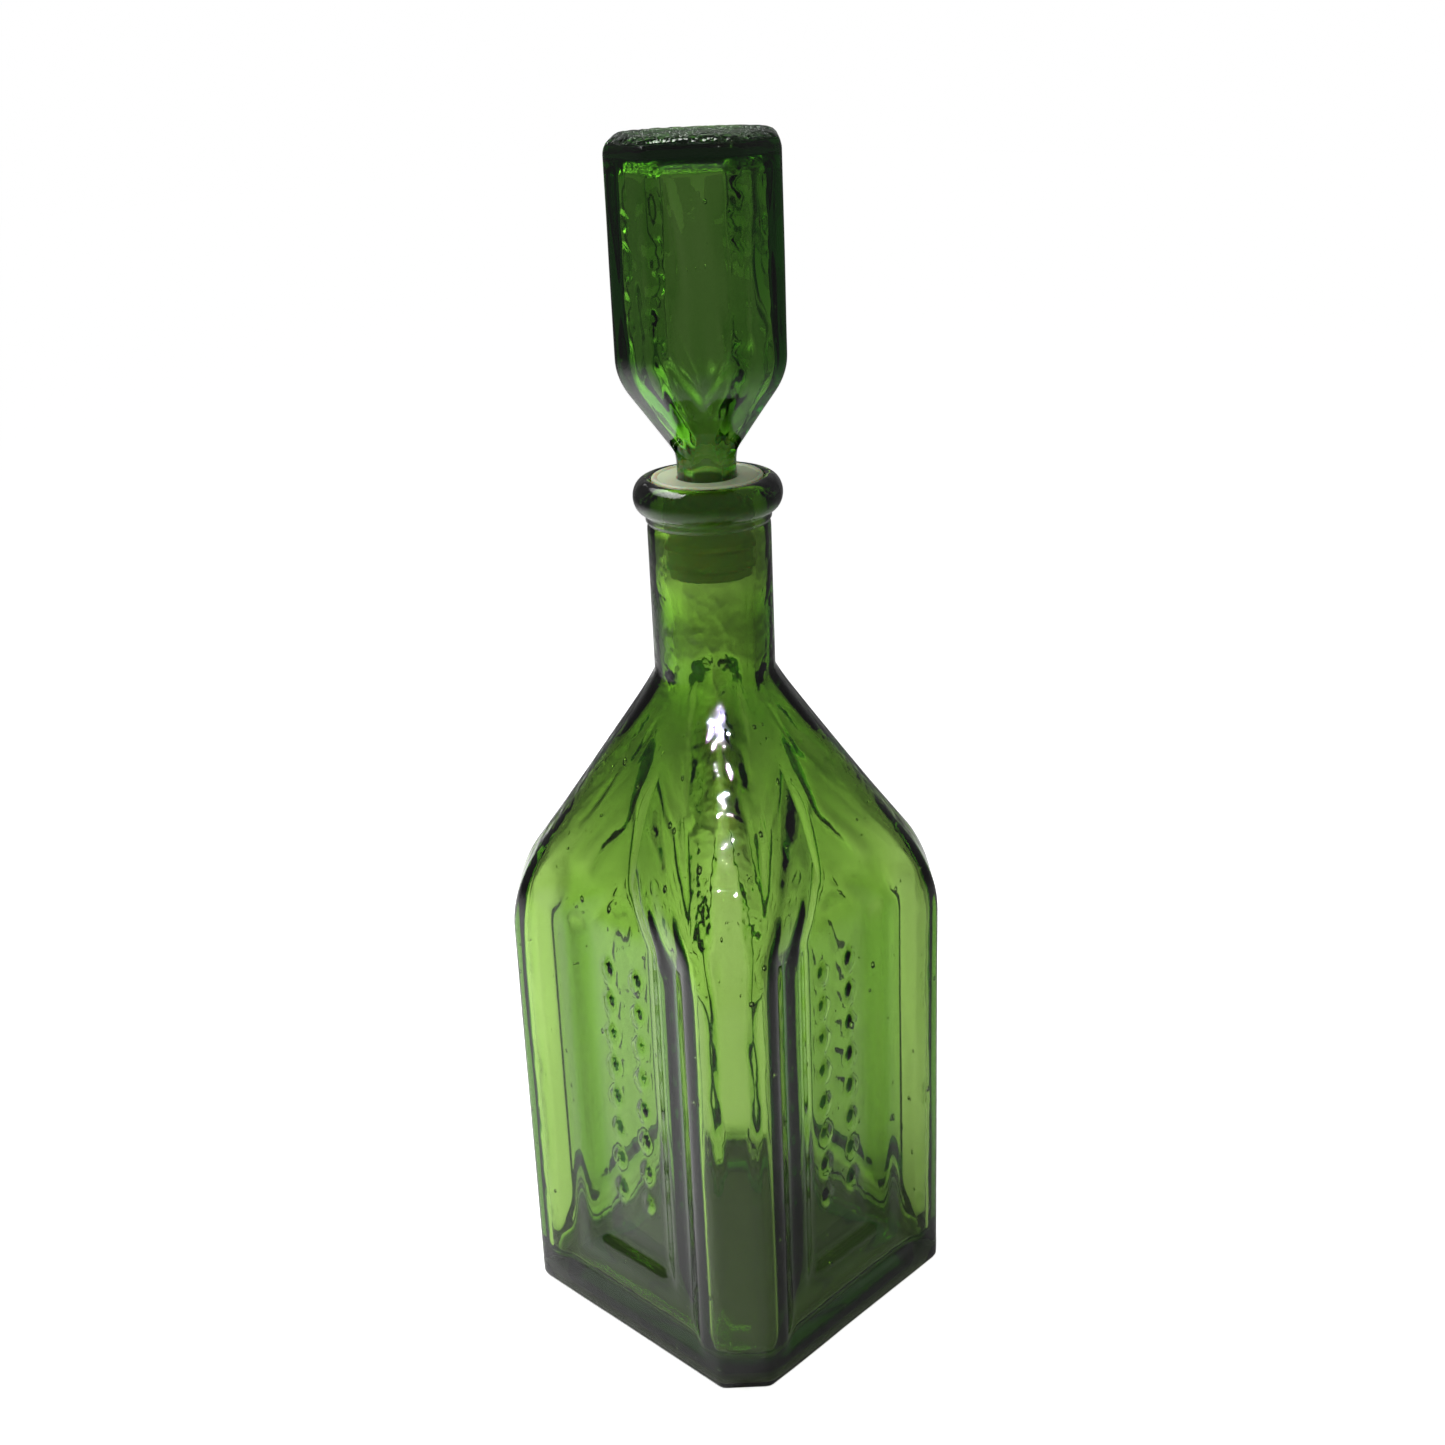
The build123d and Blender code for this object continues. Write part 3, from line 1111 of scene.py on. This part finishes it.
@dataclass
class Sleeve:
    """The plastic sleeve: a flange on the lip and a finned plug in the neck."""

    base: float
    top: float
    seat: float = 196.4
    flange: float = 11.8
    plug: float = 8.5
    socket: float = 6.35
    floor: float = 2.0
    fin_reach: float = 0.65
    fin_start: float = 2.6  # height of the lowest fin above the underside
    fin_pitch: float = 4.2
    fins: int = 4
    turns: int = 96  # steps of the spin
    edge: float = 0.12  # width of the softened edges

    def profile(self) -> Outline:
        """Draw the half outline.

        Returns:
            Its points, from the middle of the underside to the middle of the socket's floor.
        """
        base, top, seat, plug = self.base, self.top, self.seat, self.plug
        points = [(0.0, base), (plug - 0.3, base), (plug, base + 0.3)]
        fin = plug + self.fin_reach
        for number in range(self.fins):
            tip = base + self.fin_start + self.fin_pitch * number
            points += [(plug, tip - 0.8), (fin, tip - 0.1), (fin, tip + 0.1), (plug, tip + 0.8)]
        rim, socket, floor = self.flange, self.socket, base + self.floor
        points += [(plug, seat - 0.2), (plug + 0.2, seat), (rim - 0.2, seat), (rim, seat + 0.2)]
        points += [(rim, top - 0.35), (rim - 0.25, top - 0.05), (rim - 0.6, top)]
        points += [(rim - 0.9, top - 0.06), (rim - 1.25, top - 0.33)]
        points += [(socket + 0.3, top - 0.35), (socket, top - 0.6), (socket, floor)]
        return (*points, (0.0, floor))

    def build(self) -> Piece:
        """Model the sleeve by spinning its half outline.

        Returns:
            The finished piece.
        """
        outline = [(r * MM, 0.0, z * MM) for r, z in self.profile()]
        mesh = bpy.data.meshes.new("stopper_sleeve_plastic")
        mesh.from_pydata(outline, [(i, i + 1) for i in range(len(outline) - 1)], [])
        piece = bpy.data.objects.new(mesh.name, mesh)
        bpy.context.scene.collection.objects.link(piece)
        select(piece)
        bpy.ops.object.mode_set(mode="EDIT")
        bpy.ops.mesh.select_all(action="SELECT")
        centre, upright = (0, 0, 0), (0, 0, 1)
        bpy.ops.mesh.spin(
            steps=self.turns, angle=math.tau, center=centre, axis=upright, use_auto_merge=True
        )
        close_up(1e-6)
        soft = piece.modifiers.new("soft_edges", "BEVEL")
        soft.width = self.edge * MM
        soft.segments = 2
        soft.limit_method = "ANGLE"
        soft.angle_limit = math.radians(40)
        bpy.ops.object.modifier_apply(modifier=soft.name)
        bpy.ops.object.shade_smooth_by_angle(angle=math.radians(35))
        return piece

    def dress(self, piece: Piece) -> None:
        """Give the sleeve its plastic and its place in the frame.

        Args:
            piece: the sleeve's piece.
        """
        piece.data.materials.append(SLEEVE_PLASTIC.material())
        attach(piece, "sleeve")
        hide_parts("stopper_sleeve")


# --------------------------------------------------------------------- studio


@dataclass(frozen=True)
class Lamp:
    """A soft rectangular lamp that the camera doesn't see."""

    name: str
    place: Vector
    aim: Vector
    size: Pair  # width and height, in metres
    power: float  # in watts
    spread: float  # angle of its beam, in degrees

    def hang(self) -> None:
        """Make the lamp, turned to what it shines at."""
        data = bpy.data.lights.new(self.name, "AREA")
        data.shape = "RECTANGLE"
        data.size, data.size_y = self.size
        data.energy = self.power
        data.spread = math.radians(self.spread)
        lamp = bpy.data.objects.new(self.name, data)
        lamp.location = self.place
        lamp.visible_camera = False
        lamp.rotation_euler = (self.aim - self.place).to_track_quat("-Z", "Y").to_euler()
        bpy.context.scene.collection.objects.link(lamp)


@dataclass
class Studio:
    """Pale floor, soft light, white surroundings and the camera."""

    around: float = 44.797  # degrees, where the camera stands
    away: float = 0.36712  # metres from the bottle's axis
    height: float = 0.28697
    pitch: float = 20.664
    roll: float = -2.442
    sensor: float = 36.0
    focal: float = 44.4322
    shift: Pair = (0.0042007, -0.0191903)
    room: float = 0.16  # strength of the light from all round
    floor_white: float = 0.87  # how white the floor is to the eye, before the light on it
    floor_tone: float = 0.82
    painted_shadow_tone: float = 0.05  # painted shadow: the floor's colour below the foot, made dark to stand in for its shade, which shows through the glass
    painted_shadow_edge: Pair = (0.030, 0.0385)  # where the painted shadow becomes the plain floor
    floor_through: float = 0.04  # share of the white floor that shows in the glass
    room_through: float = 0.08
    glossy_share: float = 0.3  # of that, for a reflection

    def camera(self) -> None:
        """Place the camera."""
        turn, pitch, roll = (math.radians(a) for a in (self.around, self.pitch, self.roll))
        place = Vector((self.away * math.sin(turn), -self.away * math.cos(turn), self.height))
        level = Vector((-math.sin(turn), math.cos(turn), 0))
        ahead = level * math.cos(pitch) - Vector((0, 0, math.sin(pitch)))
        right = Vector((math.cos(turn), math.sin(turn), 0))
        above = right.cross(ahead)
        side = right * math.cos(roll) + above * math.sin(roll)
        up = above * math.cos(roll) - right * math.sin(roll)
        data = bpy.data.cameras.new("camera")
        data.sensor_width = self.sensor
        data.lens = self.focal
        data.shift_x, data.shift_y = self.shift
        data.clip_start = 0.01
        camera = bpy.data.objects.new("camera", data)
        frame = Matrix((side, up, -ahead)).transposed().to_4x4()
        frame.translation = place
        camera.matrix_world = frame
        bpy.context.scene.collection.objects.link(camera)
        bpy.context.scene.camera = camera

    def seen(self, shader: Shader, through: float) -> Sock:
        """How much of the white backdrop a ray sees.

        Args:
            shader: node tree of the floor or the surroundings.
            through: share of it for a ray that comes off or through the glass.

        Returns:
            One for the eye, the share for such a ray, and zero for a ray that only lights.
        """
        kinds = ("Is Camera Ray", "Is Glossy Ray", "Is Transmission Ray")
        rays = [shader.node("ShaderNodeLightPath", {}, {}, kind) for kind in kinds]
        eye, glossy, passed = rays
        return eye.at_least((glossy * self.glossy_share + passed) * through)

    def floor(self) -> None:
        """Lay the pale floor, white to the eye but for the object's shadow, with a painted
        shadow in its colour below the foot.
        """
        clear_selection()
        bpy.ops.mesh.primitive_plane_add(size=6, location=(0, 0, 0))
        floor = bpy.context.object
        floor.name = "floor"
        material = bpy.data.materials.new("pale_floor")
        shader = Shader(material)
        level = self.seen(shader, self.floor_through) * self.floor_white
        place = shader.place()
        # painted shadow: the floor's colour goes dark in a square below the foot, and the glass
        # shows it
        off = shader.axis(place, "X").apart().at_least(shader.axis(place, "Y").apart())
        outside_painted_shadow = shader.smooth(off, *self.painted_shadow_edge)
        tone_with_painted_shadow = shader.mixed(outside_painted_shadow, (self.painted_shadow_tone,) * 3, (self.floor_tone,) * 3)
        matt = shader.node("ShaderNodeBsdfDiffuse", {}, {"Color": tone_with_painted_shadow})
        glow = shader.node("ShaderNodeEmission", {}, {"Color": WHITE, "Strength": level})
        both = shader.node("ShaderNodeAddShader", {}, {0: matt, 1: glow})
        shader.node("ShaderNodeOutputMaterial", {}, {"Surface": both})
        floor.data.materials.append(material)

    def surroundings(self) -> None:
        """White surroundings that also give the soft light."""
        world = bpy.data.worlds.new("studio")
        bpy.context.scene.world = world
        shader = Shader(world)
        level = self.seen(shader, self.room_through) * (1 - self.room) + self.room
        light = shader.node("ShaderNodeBackground", {}, {"Color": WHITE, "Strength": level})
        shader.node("ShaderNodeOutputWorld", {}, {"Surface": light})

    def light(self) -> None:
        """Hang a small lamp in front, for the gloss, and a broad one above and behind."""
        turn = math.radians(self.around)
        ahead = Vector((math.sin(turn), -math.cos(turn), 0))
        side = Vector((math.cos(turn), math.sin(turn), 0))
        up = Vector((0, 0, 1))
        back = ahead * -0.12 - side * 0.20
        lamps = (
            Lamp("front_lamp", ahead * 0.62 + up * 0.80, up * 0.13, (0.005, 0.03), 0.2, 60),
            Lamp("top_lamp", back + up * 0.40, back, (0.3, 0.3), 1.35, 115),
        )
        for lamp in lamps:
            lamp.hang()

    def build(self) -> None:
        """Set up the whole studio."""
        self.camera()
        self.floor()
        self.surroundings()
        self.light()
        bpy.context.scene.view_settings.view_transform = "Standard"


def main() -> None:
    """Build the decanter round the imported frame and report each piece."""
    logging.basicConfig(level=logging.INFO, format="%(name)s: %(message)s")
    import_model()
    sleeve_low, sleeve_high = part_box("stopper_sleeve")
    stopper_low, stopper_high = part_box("stopper")
    bottle_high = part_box("bottle")[1]
    parts = (
        Bottle(lip_top=bottle_high.z / MM),
        Sleeve(base=sleeve_low.z / MM, top=sleeve_high.z / MM),
        Stopper(top=stopper_high.z / MM, end=stopper_low.z / MM),
    )
    for part in parts:
        piece = part.build()
        part.dress(piece)
        log.info("%s: %d faces", piece.name, len(piece.data.polygons))
    Studio().build()


if __name__ == "__main__":
    main()
